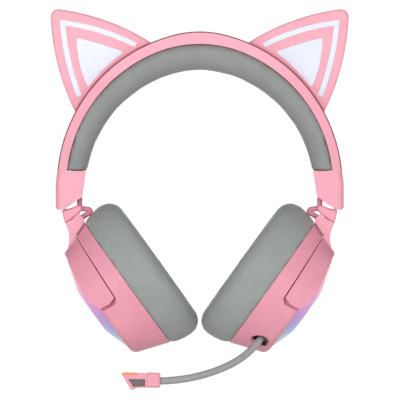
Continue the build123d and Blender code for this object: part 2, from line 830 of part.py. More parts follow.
def usb_port():
    """Charging port."""
    with BuildPart() as port:
        with Locations(usb_place() * Location((0, 0, -1.0))):
            Box(3.1, 8.9, 7, align=DOWNWARD)
            Box(2.5, 8.3, 6, align=DOWNWARD, mode=Mode.SUBTRACT)
            Box(0.7, 6.6, 5.4, align=(Align.CENTER, Align.CENTER, Align.CENTER))
    save_left(on_cup(port.part), "usb_port")


# Microphone -----------------------------------------------------------------------------------------------


def mic_guide():
    """Tube in the left cup that the boom slides in, with a wide mouth in the wall."""
    with BuildPart() as guide:
        with Locations(Location(Plane(origin=PORT, z_dir=PORT_OUT * -1))):
            Cylinder(5.5, 9.4, align=UPWARD)
            Cylinder(3.3, 27, align=UPWARD)
            Cylinder(4.9, PORT_MOUTH, align=UPWARD, mode=Mode.SUBTRACT)
            Cylinder(BOOM_R + RUNNING, 60, mode=Mode.SUBTRACT)
    save_left(on_cup(guide.part), "mic_guide")


def boom_planes():
    """Planes at both bends and at the boom's end, x along the boom and y towards the inside of its curve."""
    out = (in_headset(*PORT_OUT) - in_headset(0, 0, 0)).normalized()
    start = in_headset(*PORT) + out * BOOM_ROOT
    normal = out.cross(Vector(1, 0, 0)).normalized()
    planes = [Plane(origin=start, x_dir=out, z_dir=normal)]
    turn = radians(BOOM_BEND)
    for radius in (BOOM_INNER_R, BOOM_OUTER_R):
        step = Vector(radius * sin(turn), radius * (1 - cos(turn)), 0)
        last = planes[-1]
        way = last.x_dir * cos(turn) + last.y_dir * sin(turn)
        planes.append(Plane(origin=last.from_local_coords(step), x_dir=way, z_dir=normal))
    return planes


def waist(plane, side):
    """Tapered end of a boom length at a bend, on the side the length is on."""
    with BuildPart() as end:
        tip = plane.origin + plane.x_dir * (side * 0.2)
        with Locations(Location(Plane(origin=tip, z_dir=plane.x_dir * side))):
            Cone(0.5, BOOM_R, 1.6, align=UPWARD)
    return end.part


def boom():
    """Boom in three lengths that bend where they meet."""
    first, second, last = boom_planes()
    with BuildPart() as root:
        with Locations(Location(Plane(origin=first.origin - first.x_dir * 1.8, z_dir=first.x_dir * -1))):
            Cylinder(BOOM_R, BOOM_ROOT + PORT_MOUTH + BOOM_TAIL - 1.8, align=UPWARD)
        add(waist(first, -1))
    save_left(root.part, "boom_root")
    boom_length(first, "boom_inner", last_length=False)
    boom_length(second, "boom_outer", last_length=True)


def boom_length(plane, name, last_length):
    """One curved length of the boom, from a bend at the plane."""
    radius = BOOM_OUTER_R if last_length else BOOM_INNER_R
    turn = 1.8 / radius
    start = (radius * sin(turn), radius * (1 - cos(turn)))
    way = (cos(turn), sin(turn))
    degrees_left = BOOM_BEND - turn * 57.2958 * (1 if last_length else 2)
    end_plane = boom_planes()[2 if last_length else 1]
    with BuildPart() as length:
        with BuildLine(plane) as route:
            JernArc(start=start, tangent=way, radius=radius, arc_size=degrees_left)
        with BuildSketch(Plane(origin=route.wires()[0] @ 0, z_dir=route.wires()[0] % 0)):
            Circle(BOOM_R)
        sweep(path=route.wires()[0])
        add(waist(plane, 1))
        if not last_length:
            add(waist(end_plane, -1))
    save_left(length.part, name)


def mic_pieces():
    """Microphone housing with its capsule, grille and light strip."""
    end = boom_planes()[2].origin + Vector(0.3, 0, 0.4)
    middle = Plane.XZ.offset(-end.Y)

    def at(x, z):
        return end.X + x, end.Z + z

    with BuildPart() as head:
        with BuildSketch(middle):
            upper_edge = (at(5.0, -4.6), at(5.0, 4.6), at(25.9, 5.2))
            lower_edge = (at(19.8, -5.2), at(18.4, -6.3), at(15.0, -4.8))
            Polygon(*upper_edge, *lower_edge, align=None)
        extrude(amount=4.2, both=True)
        fillet(head.edges().filter_by(Axis.Y), 0.7)
        fillet(head.faces().sort_by(Axis.Y)[0].edges(), 0.6)
        fillet(head.faces().sort_by(Axis.Y)[-1].edges(), 0.6)
    with BuildPart() as neck:
        with Locations((end.X + 4.5, end.Y, end.Z + 0.2)):
            Box(9.0, 9.6, 9.9)
        fillet(neck.edges(), 1.4)
    with BuildPart() as housing:
        add(head)
        add(neck)
        with Locations((end.X + 14.2, end.Y, end.Z - 1.6)):
            Cylinder(2.35, 5.0, rotation=(90, 0, 0), align=UPWARD, mode=Mode.SUBTRACT)
        with BuildSketch(middle.offset(3.0)):
            Polygon(at(9.9, 0.9), at(21.0, 0.9), at(17.9, -4.1), at(9.9, -3.9), align=None)
        extrude(amount=3, mode=Mode.SUBTRACT)
        with Locations((end.X + 19.6, end.Y - 3.6, end.Z + 4.6)):
            Box(9.4, 3.0, 1.7, mode=Mode.SUBTRACT)
    save_left(housing.part, "mic_housing")
    with BuildPart() as capsule:
        with Locations((end.X + 14.2, end.Y, end.Z - 1.6)):
            Cylinder(2.3, 2.8, rotation=(90, 0, 0), align=UPWARD)
    save_left(capsule.part, "mic_capsule")
    with BuildPart() as grille:
        with BuildSketch(middle.offset(3.05)):
            Polygon(at(9.95, 0.85), at(20.9, 0.85), at(17.85, -4.03), at(9.95, -3.85), align=None)
        extrude(amount=0.9)
    save_left(grille.part, "mic_grille")
    with BuildPart() as light:
        with Locations((end.X + 19.6, end.Y - 3.15, end.Z + 4.55)):
            Box(9.3, 2.0, 1.5)
    save_left(light.part, "mic_light")


def main():
    os.makedirs("parts", exist_ok=True)
    band_shell()
    band_cover()
    spring_strip()
    cushion_carrier()
    band_cushion()
    end_cap()
    ear_front()
    ear_back()
    ear_light()
    ear_board()
    ear_screws()
    slide_strip()
    stem()
    swivel_pin()
    cable()
    yoke()
    pivot_pins()
    cup_shell_right()
    cup_shell_left()
    baffle()
    driver()
    baffle_screws()
    light_ring()
    outer_plate()
    ear_cushion()
    scrim()
    battery()
    main_board()
    volume_wheel()
    volume_encoder()
    buttons()
    usb_port()
    mic_guide()
    boom()
    mic_pieces()


main()
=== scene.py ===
"""Looks of the gaming headset with cat ears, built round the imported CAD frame.

Metres, +Z up, the wearer faces -Y. A cup's own axes are u towards the head, y, and v up the cup's face.
"""

import json
import math

import bmesh
import bpy
from mathutils import Matrix, Vector, noise
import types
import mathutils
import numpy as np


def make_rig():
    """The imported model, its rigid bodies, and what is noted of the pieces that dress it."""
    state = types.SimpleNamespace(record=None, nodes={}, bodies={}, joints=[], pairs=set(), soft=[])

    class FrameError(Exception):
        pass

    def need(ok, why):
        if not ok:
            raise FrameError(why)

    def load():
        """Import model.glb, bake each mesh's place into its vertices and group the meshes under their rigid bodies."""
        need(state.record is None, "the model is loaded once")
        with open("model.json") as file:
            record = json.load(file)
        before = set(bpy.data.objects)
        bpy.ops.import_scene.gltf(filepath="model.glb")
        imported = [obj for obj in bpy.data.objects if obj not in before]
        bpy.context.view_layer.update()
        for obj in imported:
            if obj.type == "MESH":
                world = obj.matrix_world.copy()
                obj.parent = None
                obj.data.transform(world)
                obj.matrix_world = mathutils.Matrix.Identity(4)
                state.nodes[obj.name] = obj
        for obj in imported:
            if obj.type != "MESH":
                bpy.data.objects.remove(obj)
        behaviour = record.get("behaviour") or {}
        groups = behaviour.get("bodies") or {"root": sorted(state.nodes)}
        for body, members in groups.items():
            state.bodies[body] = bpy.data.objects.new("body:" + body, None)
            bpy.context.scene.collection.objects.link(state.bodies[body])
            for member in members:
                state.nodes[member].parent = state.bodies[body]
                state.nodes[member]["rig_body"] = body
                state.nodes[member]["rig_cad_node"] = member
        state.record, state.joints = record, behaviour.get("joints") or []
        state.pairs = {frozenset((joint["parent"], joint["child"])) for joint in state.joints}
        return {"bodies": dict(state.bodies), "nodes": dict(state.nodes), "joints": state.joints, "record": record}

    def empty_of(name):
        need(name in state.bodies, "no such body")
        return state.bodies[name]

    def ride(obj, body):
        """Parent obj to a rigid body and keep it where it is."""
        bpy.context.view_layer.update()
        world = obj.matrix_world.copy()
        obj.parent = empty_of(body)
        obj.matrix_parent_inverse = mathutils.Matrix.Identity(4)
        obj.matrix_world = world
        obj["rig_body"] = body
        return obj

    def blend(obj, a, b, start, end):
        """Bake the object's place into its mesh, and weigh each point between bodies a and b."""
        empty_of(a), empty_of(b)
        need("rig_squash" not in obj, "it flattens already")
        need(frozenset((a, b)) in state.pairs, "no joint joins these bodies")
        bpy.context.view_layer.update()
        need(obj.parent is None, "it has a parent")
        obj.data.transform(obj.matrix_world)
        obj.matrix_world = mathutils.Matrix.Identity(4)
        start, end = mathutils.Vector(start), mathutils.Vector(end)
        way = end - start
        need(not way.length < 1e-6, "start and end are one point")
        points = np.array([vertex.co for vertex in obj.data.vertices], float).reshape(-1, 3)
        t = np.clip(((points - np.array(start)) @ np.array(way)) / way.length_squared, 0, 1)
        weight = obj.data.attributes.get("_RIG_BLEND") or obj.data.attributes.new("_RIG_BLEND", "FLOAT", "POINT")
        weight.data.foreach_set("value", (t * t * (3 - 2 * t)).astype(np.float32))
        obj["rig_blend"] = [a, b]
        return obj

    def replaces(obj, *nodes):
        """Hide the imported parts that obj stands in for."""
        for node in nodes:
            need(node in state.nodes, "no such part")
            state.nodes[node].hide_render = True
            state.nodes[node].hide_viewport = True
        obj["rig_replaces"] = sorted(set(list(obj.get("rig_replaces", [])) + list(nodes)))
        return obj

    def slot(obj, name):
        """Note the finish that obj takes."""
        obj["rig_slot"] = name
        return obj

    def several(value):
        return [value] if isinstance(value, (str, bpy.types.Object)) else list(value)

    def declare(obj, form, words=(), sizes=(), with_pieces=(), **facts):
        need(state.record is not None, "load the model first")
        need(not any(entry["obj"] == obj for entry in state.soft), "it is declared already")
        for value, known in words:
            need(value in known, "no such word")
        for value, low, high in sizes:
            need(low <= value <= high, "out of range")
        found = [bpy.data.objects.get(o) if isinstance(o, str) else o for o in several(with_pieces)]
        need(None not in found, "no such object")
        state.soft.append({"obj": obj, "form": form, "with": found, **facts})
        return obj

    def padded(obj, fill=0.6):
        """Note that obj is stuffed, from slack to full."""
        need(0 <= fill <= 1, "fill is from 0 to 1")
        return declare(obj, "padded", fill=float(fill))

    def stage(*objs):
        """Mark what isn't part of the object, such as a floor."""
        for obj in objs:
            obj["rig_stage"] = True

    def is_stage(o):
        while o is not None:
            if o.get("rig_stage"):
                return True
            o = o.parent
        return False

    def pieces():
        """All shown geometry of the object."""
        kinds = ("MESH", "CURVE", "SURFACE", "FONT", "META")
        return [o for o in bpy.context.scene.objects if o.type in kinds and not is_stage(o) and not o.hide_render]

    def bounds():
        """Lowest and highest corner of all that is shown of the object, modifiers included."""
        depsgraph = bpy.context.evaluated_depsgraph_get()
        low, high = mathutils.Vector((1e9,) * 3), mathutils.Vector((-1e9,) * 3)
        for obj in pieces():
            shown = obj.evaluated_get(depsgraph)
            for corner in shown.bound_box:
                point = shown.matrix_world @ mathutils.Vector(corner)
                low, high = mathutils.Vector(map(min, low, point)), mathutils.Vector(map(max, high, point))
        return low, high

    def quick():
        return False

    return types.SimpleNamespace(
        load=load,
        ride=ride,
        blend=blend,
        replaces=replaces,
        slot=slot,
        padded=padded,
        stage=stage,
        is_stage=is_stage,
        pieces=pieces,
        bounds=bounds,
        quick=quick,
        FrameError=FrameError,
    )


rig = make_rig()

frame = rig.load()
NODES = frame["nodes"]
cad_box = [list(corner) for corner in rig.bounds()]

MM = 0.001
TILT = math.radians(35.7)  # of each cup, its top away from the head
CUP_CENTRE = Vector((-47.6, 0, -140.5)) * MM  # right cup, where its cushion starts
OVAL = 0.9  # a cup's depth over its height
SIDES = {"right": 1, "left": -1}
CABLE_R = 1.7 * MM
BOOM_R = 2.4 * MM
BOOM_R_IN_PORT = 2.25 * MM
FLOOR_Z = -0.3
SURROUND_R = 9.0

# Camera ---------------------------------------------------------------------------------------------------

DISTANCE = 4.0
WIDTH = 0.264  # of what the picture shows at the headset
VIEW_CENTRE = (0.0002, -0.0858)
camera_data = bpy.data.cameras.new("camera")
camera = bpy.data.objects.new("camera", camera_data)
bpy.context.scene.collection.objects.link(camera)
camera.location = (VIEW_CENTRE[0], -DISTANCE, VIEW_CENTRE[1])
camera.rotation_euler = (math.radians(90), 0, 0)
camera_data.sensor_width = 36
camera_data.lens = camera_data.sensor_width * DISTANCE / WIDTH
camera_data.clip_end = 20
bpy.context.scene.camera = camera
bpy.context.scene.view_settings.view_transform = "Standard"


# Places ---------------------------------------------------------------------------------------------------


def cup_point(u, y, v, side=1):
    """A point of a cup's own axes (mm) in the frame (m). Side 1 is the wearer's right, -1 the left."""
    x = u * math.cos(TILT) - v * math.sin(TILT)
    z = u * math.sin(TILT) + v * math.cos(TILT)
    point = CUP_CENTRE + Vector((x, y, z)) * MM
    return Vector((point.x * side, point.y, point.z))


def link(name, mesh_or_curve):
    """A new object of the scene."""
    made = bpy.data.objects.new(name, mesh_or_curve)
    bpy.context.scene.collection.objects.link(made)
    return made


def smooth(obj):
    """Shades a mesh smooth."""
    obj.data.polygons.foreach_set("use_smooth", [True] * len(obj.data.polygons))


def grid_mesh(name, rows, close_rows=False, close_columns=False, caps=False):
    """Mesh through a grid of points. Rows are lists of the same length."""
    count, width = len(rows), len(rows[0])
    points = [p for row in rows for p in row]
    faces = []
    for i in range(count if close_rows else count - 1):
        for j in range(width if close_columns else width - 1):
            a, b = i * width + j, i * width + (j + 1) % width
            c, d = ((i + 1) % count) * width + (j + 1) % width, ((i + 1) % count) * width + j
            faces.append((a, b, c, d))
    if caps:
        faces.append(tuple(range(width))[::-1])
        faces.append(tuple((count - 1) * width + j for j in range(width)))
    mesh = bpy.data.meshes.new(name)
    mesh.from_pydata(points, [], faces)
    made = bmesh.new()
    made.from_mesh(mesh)
    bmesh.ops.recalc_face_normals(made, faces=made.faces)
    made.to_mesh(mesh)
    made.free()
    obj = link(name, mesh)
    smooth(obj)
    return obj


def mirrored(obj, name):
    """A copy of a piece on the other side of the headset."""
    mesh = obj.data.copy()
    mesh.transform(Matrix.Scale(-1, 4, (1, 0, 0)))
    mesh.flip_normals()
    return link(name, mesh)


# Materials ------------------------------------------------------------------------------------------------


class Shader:
    """Builds one node material."""

    def __init__(self, name):
        self.material = bpy.data.materials.new(name)
        self.material.use_nodes = True
        self.tree = self.material.node_tree
        self.bsdf = self.tree.nodes["Principled BSDF"]
        coord = self.add("ShaderNodeTexCoord")
        self.place = coord.outputs["Object"]
        self.normal = coord.outputs["Normal"]

    def add(self, kind, **values):
        node = self.tree.nodes.new(kind)
        for key, value in values.items():
            setattr(node, key, value)
        return node

    def join(self, a, b):
        self.tree.links.new(a, b)

    def fill(self, node, name, value):
        node.inputs[name].default_value = value

    def noise(self, scale, detail=3.0, roughness=0.5, place=None):
        node = self.add("ShaderNodeTexNoise")
        self.fill(node, "Scale", scale)
        self.fill(node, "Detail", detail)
        self.fill(node, "Roughness", roughness)
        self.join(place or self.place, node.inputs["Vector"])
        return node.outputs["Fac"]

    def cells(self, scale, feature="F1", place=None):
        node = self.add("ShaderNodeTexVoronoi", feature=feature)
        self.fill(node, "Scale", scale)
        self.join(place or self.place, node.inputs["Vector"])
        return node.outputs["Distance"]

    def ramp(self, value, stops):
        node = self.add("ShaderNodeValToRGB")
        ramp = node.color_ramp
        while len(ramp.elements) < len(stops):
            ramp.elements.new(0.5)
        for element, (at, colour) in zip(ramp.elements, stops):
            element.position = at
            element.color = (*colour, 1)
        self.join(value, node.inputs["Fac"])
        return node.outputs["Color"]

    def span(self, value, low, high, out_low, out_high):
        node = self.add("ShaderNodeMapRange")
        ends = {"From Min": low, "From Max": high, "To Min": out_low, "To Max": out_high}
        for name, number in ends.items():
            self.fill(node, name, number)
        self.join(value, node.inputs["Value"])
        return node.outputs["Result"]

    def maths(self, kind, a, b=None):
        node = self.add("ShaderNodeMath", operation=kind)
        for slot, value in zip(node.inputs, (a, b)):
            if value is None:
                continue
            if isinstance(value, (int, float)):
                slot.default_value = value
            else:
                self.join(value, slot)
        return node.outputs[0]

    def bump(self, height, strength, distance, before=None):
        node = self.add("ShaderNodeBump")
        self.fill(node, "Strength", strength)
        self.fill(node, "Distance", distance)
        self.join(height, node.inputs["Height"])
        if before is not None:
            self.join(before, node.inputs["Normal"])
        self.join(node.outputs["Normal"], self.bsdf.inputs["Normal"])
        return node.outputs["Normal"]


def tones(colour, spread):
    """Darker and lighter versions of a colour."""
    return [c * (1 - spread) for c in colour], [min(1, c * (1 + spread)) for c in colour]


def plastic_shader(name, colour, rough=0.38, spread=0.04, grain=0.00003, coat=0.15):
    """Moulded plastic: faint mottling, a fine spark-eroded grain and handling marks in the gloss."""
    s = Shader(name)
    low, high = tones(colour, spread)
    s.join(s.ramp(s.noise(38, 4), [(0.3, low), (0.7, high)]), s.bsdf.inputs["Base Color"])
    marks = s.maths("MULTIPLY", s.noise(160, 6, 0.7), s.noise(900, 2))
    s.join(s.span(marks, 0.1, 0.45, rough - 0.06, rough + 0.1), s.bsdf.inputs["Roughness"])
    s.bump(s.noise(2600, 2), 0.35, grain)
    s.fill(s.bsdf, "Coat Weight", coat)
    s.fill(s.bsdf, "Coat Roughness", 0.3)
    s.fill(s.bsdf, "Specular IOR Level", 0.45)
    return s


def plastic(name, colour, **finish):
    """A moulded plastic of one colour."""
    return plastic_shader(name, colour, **finish).material


def skin_with_painted_edge_shade(name, top, edge_shade_colour):
    """Moulded skin with painted shade: its front- and back-facing sides, found by where the normal points, are painted
    a darker colour than its face, standing in for the shade along its cut edges.
    """
    s = plastic_shader(name, top, rough=0.55, coat=0.0)
    parts = s.add("ShaderNodeSeparateXYZ")
    s.join(s.normal, parts.inputs[0])
    # painted shade: how much of the dark shade colour a point takes, by how far its normal faces front or back
    painted_shade_share = s.span(s.maths("ABSOLUTE", parts.outputs["Y"]), 0.55, 0.85, 0, 1)
    colour = s.bsdf.inputs["Base Color"]
    mix = s.add("ShaderNodeMix", data_type="RGBA")
    s.join(painted_shade_share, mix.inputs["Factor"])
    s.join(colour.links[0].from_socket, mix.inputs["A"])
    # the dark colour of the painted edge shade
    s.fill(mix, "B", (*edge_shade_colour, 1))
    s.join(mix.outputs["Result"], colour)
    return s.material


def leather(name, colour):
    """Soft synthetic leather: pebbled grain, creases, a dry sheen."""
    s = Shader(name)
    low, high = tones(colour, 0.045)
    s.join(s.ramp(s.noise(75, 5, 0.6), [(0.32, low), (0.68, high)]), s.bsdf.inputs["Base Color"])
    s.join(s.span(s.noise(240, 4), 0.3, 0.7, 0.5, 0.68), s.bsdf.inputs["Roughness"])
    wobble = s.add("ShaderNodeVectorMath", operation="ADD")
    warp = s.add("ShaderNodeTexNoise")
    s.fill(warp, "Scale", 420)
    s.join(s.place, warp.inputs["Vector"])
    scaled = s.add("ShaderNodeVectorMath", operation="SCALE")
    s.join(warp.outputs["Color"], scaled.inputs[0])
    scaled.inputs["Scale"].default_value = 0.0012
    s.join(s.place, wobble.inputs[0])
    s.join(scaled.outputs[0], wobble.inputs[1])
    pebbles = s.cells(1150, "F1", wobble.outputs[0])
    first = s.bump(s.span(pebbles, 0.0, 0.75, 1.0, 0.0), 0.4, 0.00008)
    s.bump(s.noise(140, 4), 0.25, 0.0004, first)
    s.fill(s.bsdf, "Sheen Weight", 0.12)
    s.fill(s.bsdf, "Sheen Roughness", 0.5)
    s.fill(s.bsdf, "Specular IOR Level", 0.35)
    return s.material


def cloth(name, colour):
    """Knitted cloth with open meshes."""
    s = Shader(name)
    holes = s.cells(900)
    low, high = tones(colour, 0.35)
    s.join(s.ramp(holes, [(0.15, low), (0.6, high)]), s.bsdf.inputs["Base Color"])
    s.join(s.span(s.noise(300), 0.3, 0.7, 0.8, 0.95), s.bsdf.inputs["Roughness"])
    s.bump(holes, 0.8, 0.0003)
    s.fill(s.bsdf, "Sheen Weight", 0.3)
    return s.material


def metal(name, colour, rough=0.32):
    """Rolled or turned steel."""
    s = Shader(name)
    stretch = s.add("ShaderNodeMapping")
    s.fill(stretch, "Scale", (1, 1, 0.05))
    s.join(s.place, stretch.inputs["Vector"])
    low, high = tones(colour, 0.08)
    lines = s.noise(1800, 3, 0.6, stretch.outputs[0])
    s.join(s.ramp(lines, [(0.35, low), (0.65, high)]), s.bsdf.inputs["Base Color"])
    s.join(s.span(lines, 0.3, 0.7, rough - 0.08, rough + 0.12), s.bsdf.inputs["Roughness"])
    s.bump(lines, 0.15, 0.00004)
    s.fill(s.bsdf, "Metallic", 1.0)
    return s.material


def diffuser(name, colour, glow, strength):
    """Milky light guide, lit from behind by LEDs in a row."""
    s = Shader(name)
    low, high = tones(colour, 0.03)
    s.join(s.ramp(s.noise(90, 3), [(0.3, low), (0.7, high)]), s.bsdf.inputs["Base Color"])
    s.join(s.span(s.noise(500, 3), 0.3, 0.7, 0.22, 0.34), s.bsdf.inputs["Roughness"])
    spots = s.noise(60, 1)
    s.join(s.ramp(spots, [(0.3, glow), (0.7, [g * 0.96 for g in glow])]), s.bsdf.inputs["Emission Color"])
    s.fill(s.bsdf, "Emission Strength", strength)
    s.bump(s.noise(1800, 2), 0.2, 0.00002)
    return s.material


def ring_light(name):
    """Light guide whose colour runs down the cup: pink, purple, blue, pale green-white."""
    s = Shader(name)
    parts = s.add("ShaderNodeSeparateXYZ")
    s.join(s.place, parts.inputs[0])
    across = s.maths("MULTIPLY", s.maths("ABSOLUTE", parts.outputs["X"]), math.sin(TILT))
    up = s.maths("MULTIPLY", parts.outputs["Z"], math.cos(TILT))
    height = s.maths("ADD", across, up)
    middle = -CUP_CENTRE.x * math.sin(TILT) + CUP_CENTRE.z * math.cos(TILT)
    share = s.span(height, middle - 0.036, middle + 0.036, 0, 1)
    wander = s.maths("ADD", share, s.maths("MULTIPLY", s.maths("SUBTRACT", s.noise(45, 2), 0.5), 0.12))
    colours = [
        (0.0, (0.44, 0.52, 0.44)),
        (0.12, (0.38, 0.48, 0.52)),
        (0.26, (0.30, 0.33, 0.66)),
        (0.38, (0.44, 0.24, 0.62)),
        (0.56, (0.74, 0.26, 0.62)),
        (0.84, (0.80, 0.29, 0.42)),
        (1.0, (0.82, 0.36, 0.44)),
    ]
    colour = s.ramp(wander, colours)
    s.join(colour, s.bsdf.inputs["Base Color"])
    s.join(colour, s.bsdf.inputs["Emission Color"])
    s.fill(s.bsdf, "Emission Strength", 0.3)
    s.join(s.span(s.noise(400, 3), 0.3, 0.7, 0.16, 0.28), s.bsdf.inputs["Roughness"])
    s.bump(s.cells(420), 0.12, 0.0001)
    s.fill(s.bsdf, "Coat Weight", 0.4)
    return s.material


def perforated(name, colour, scale):
    """Fine woven grille."""
    s = Shader(name)
    holes = s.cells(scale)
    low, high = tones(colour, 0.4)
    s.join(s.ramp(holes, [(0.2, low), (0.55, high)]), s.bsdf.inputs["Base Color"])
    s.join(s.span(s.noise(200), 0.3, 0.7, 0.45, 0.6), s.bsdf.inputs["Roughness"])
    s.bump(holes, 0.9, 0.0002)
    s.fill(s.bsdf, "Metallic", 0.3)
    return s.material


def board(name):
    """Solder-masked circuit board with tracks."""
    s = Shader(name)
    tracks = s.cells(260, "DISTANCE_TO_EDGE")
    greens = [(0.02, (0.02, 0.16, 0.07)), (0.08, (0.01, 0.09, 0.04))]
    s.join(s.ramp(tracks, greens), s.bsdf.inputs["Base Color"])
    s.join(s.span(s.noise(300), 0.3, 0.7, 0.3, 0.45), s.bsdf.inputs["Roughness"])
    s.bump(tracks, 0.3, 0.0001)
    return s.material


PINK = (0.88, 0.355, 0.45)
MATERIALS = {
    "pink": plastic("pink_plastic", PINK),
    # the band cover's front and back faces take the dark second colour, a painted shade for the dark lines along its
    # edges
    "cover": skin_with_painted_edge_shade("band_cover_painted_edge_shade", (0.74, 0.27, 0.35), (0.20, 0.055, 0.085)),
    "dark": plastic("dark_pink_plastic", (0.42, 0.12, 0.17), rough=0.42),
    "thread": cloth("stitch_thread", (0.20, 0.21, 0.205)),
    "inner": plastic("inner_plastic", (0.035, 0.032, 0.034), rough=0.5),
    "rubber": plastic("stop_rubber", (0.09, 0.03, 0.045), rough=0.6, spread=0.08, grain=0.00005, coat=0.0),
    "socket": plastic("socket_plastic", (0.10, 0.045, 0.055), rough=0.5),
    "leather": leather("grey_leather", (0.335, 0.36, 0.35)),
    # painted shade: the band pad's grey leather is a darker copy of the ear cushions' grey leather, standing in for
    # the shade the pad sits in under the band
    "shaded_band_leather": leather("shaded_band_leather", (0.285, 0.295, 0.29)),
    "scrim": cloth("scrim_cloth", (0.03, 0.03, 0.033)),
    "ear_light": diffuser("ear_diffuser", (0.62, 0.66, 0.76), (0.84, 0.86, 1.0), 0.12),
    "ring": ring_light("ring_diffuser"),
    "steel": metal("spring_steel", (0.34, 0.34, 0.36)),
    "screw": metal("screw_steel", (0.42, 0.42, 0.44), 0.38),
    "foil": metal("cell_foil", (0.62, 0.62, 0.64), 0.4),
    "boom": plastic("boom_rubber", (0.37, 0.38, 0.385), rough=0.55, spread=0.05, grain=0.00006, coat=0.0),
    "cable": plastic("cable_rubber", (0.72, 0.27, 0.35), rough=0.45, spread=0.05, grain=0.00004, coat=0.0),
    "board": board("circuit_board"),
    "grille": perforated("mic_mesh", (0.15, 0.13, 0.13), 2200),
    "led": diffuser("mic_led", (0.78, 0.16, 0.06), (0.95, 0.16, 0.05), 0.5),
}
EDGE_RADII = {  # mm, of the big mouldings
    "end_cap": 0.5,
    "stem": 0.3,
    "yoke": 0.35,
    "cup_shell": 0.25,
    "band_shell": 0.3,
    "outer_plate": 0.3,
}
NODE_MATERIALS = {
    "band_shell": "pink",
    "band_cover": "cover",
    "spring_strip": "steel",
    "cushion_carrier": "inner",
    "ear_screws": "screw",
    "end_cap": "pink",
    "ear_front": "pink",
    "ear_back": "pink",
    "ear_light": "ear_light",
    "ear_board": "board",
    "slide_strip": "steel",
    "stem": "pink",
    "swivel_pin": "screw",
    "yoke": "pink",
    "pivot_pins": "screw",
    "cup_shell": "pink",
    "baffle": "inner",
    "driver": "inner",
    "baffle_screws": "screw",
    "light_ring": "ring",
    "outer_plate": "pink",
    "battery": "foil",
    "main_board": "board",
    "volume_wheel": "dark",
    "volume_encoder": "inner",
    "switches": "inner",
    "usb_port": "screw",
    "mic_guide": "socket",
    "power_button": "dark",
    "mute_button": "dark",
    "mic_housing": "pink",
    "mic_capsule": "inner",
    "mic_grille": "grille",
    "mic_light": "led",
}


def dress_cad_nodes():
    """Gives every CAD node that stays its material, and breaks the sharp edges of the big mouldings."""
    for name, obj in NODES.items():
        base = name.removesuffix("_right").removesuffix("_left")
        if base not in NODE_MATERIALS:
            continue
        for place in obj.material_slots:
            place.material = MATERIALS[NODE_MATERIALS[base]]
        if base in EDGE_RADII:
            bevel = obj.modifiers.new("broken_edges", "BEVEL")
            bevel.width = EDGE_RADII[base] * MM
            bevel.segments = 2
            bevel.limit_method = "ANGLE"
            bevel.angle_limit = math.radians(40)


def paint(obj, material):
    """Gives a new piece its material."""
    obj.data.materials.clear()
    obj.data.materials.append(MATERIALS[material])


# Soft pieces ----------------------------------------------------------------------------------------------


def inflate(obj, pressure, cap, voxel):
    """Remeshes a closed form, blows it up as cloth, and holds every point near where it was."""
    remesh = obj.modifiers.new("remesh", "REMESH")
    remesh.mode = "VOXEL"
    remesh.voxel_size = voxel
    apply_modifiers(obj)
    rest = [v.co.copy() for v in obj.data.vertices]
    cloth_modifier = obj.modifiers.new("cloth", "CLOTH")
    settings = cloth_modifier.settings
    settings.use_pressure = True
    settings.uniform_pressure_force = pressure
    settings.effector_weights.gravity = 0
    settings.quality = 4
    settings.tension_stiffness = 25
    settings.bending_stiffness = 0.4
    scene = bpy.context.scene
    for step in range(1, 21):
        scene.frame_set(step)
    apply_modifiers(obj)
    for vertex, at in zip(obj.data.vertices, rest):
        move = vertex.co - at
        if move.length > cap:
            vertex.co = at + move.normalized() * cap
    scene.frame_set(1)
    smooth(obj)


def apply_modifiers(obj):
    """Replaces a mesh by what its modifiers make of it."""
    graph = bpy.context.evaluated_depsgraph_get()
    mesh = bpy.data.meshes.new_from_object(obj.evaluated_get(graph))
    obj.modifiers.clear()
    obj.data = mesh


def cushion_section():
    """Outline of the ear cushion's ring, (u, r) in mm, from the shell over the outside to the hole."""
    root = [(-0.9, 46.6), (-0.7, 48.2), (2.0, 49.5)]
    outside = [(6.0, 50.7), (10.0, 51.5), (14.0, 51.75), (18.0, 51.3), (21.0, 50.0), (23.4, 47.6)]
    face = [(24.9, 44.4), (25.4, 40.6), (25.1, 37.0), (23.9, 33.8), (21.6, 31.2)]
    hole = [(18.0, 29.4), (13.0, 28.4), (7.0, 28.2), (2.0, 28.3), (0.3, 29.2)]
    return root + outside + face + hole


def ear_cushion():
    """Padded ring, drawn on the right and copied to the left."""
    section = cushion_section()
    rings = []
    count = 144
    for i in range(count):
        angle = 2 * math.pi * i / count
        across, up = math.sin(angle), math.cos(angle)
        ring = []
        for u, r in section:
            puff = noise.noise(Vector((across * 2.2, up * 2.2, u * 0.06))) * 0.35
            pucker = 0.16 * math.sin(angle * 46 + 2 * noise.noise(Vector((across * 3, up * 3, 1))))
            near_edge = math.exp(-u / 2.2) + math.exp(-abs(r - 34.0) / 1.6) * (u > 22)
            radius = r + puff + pucker * near_edge
            ring.append(cup_point(u, OVAL * radius * across, radius * up))
        rings.append(ring)
    right = grid_mesh("ear_cushion_cover_right", rings, close_rows=True, close_columns=True)
    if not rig.quick():
        inflate(right, pressure=3.0, cap=0.0012, voxel=0.003)
    left = mirrored(right, "ear_cushion_cover_left")
    for side, obj in (("right", right), ("left", left)):
        subdivision = obj.modifiers.new("subdivision", "SUBSURF")
        subdivision.levels = subdivision.render_levels = 1
        paint(obj, "leather")
        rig.replaces(obj, f"ear_cushion_{side}")
        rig.ride(obj, f"cup_{side}")
        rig.slot(obj, "grey_leather")
        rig.padded(obj, fill=0.9)


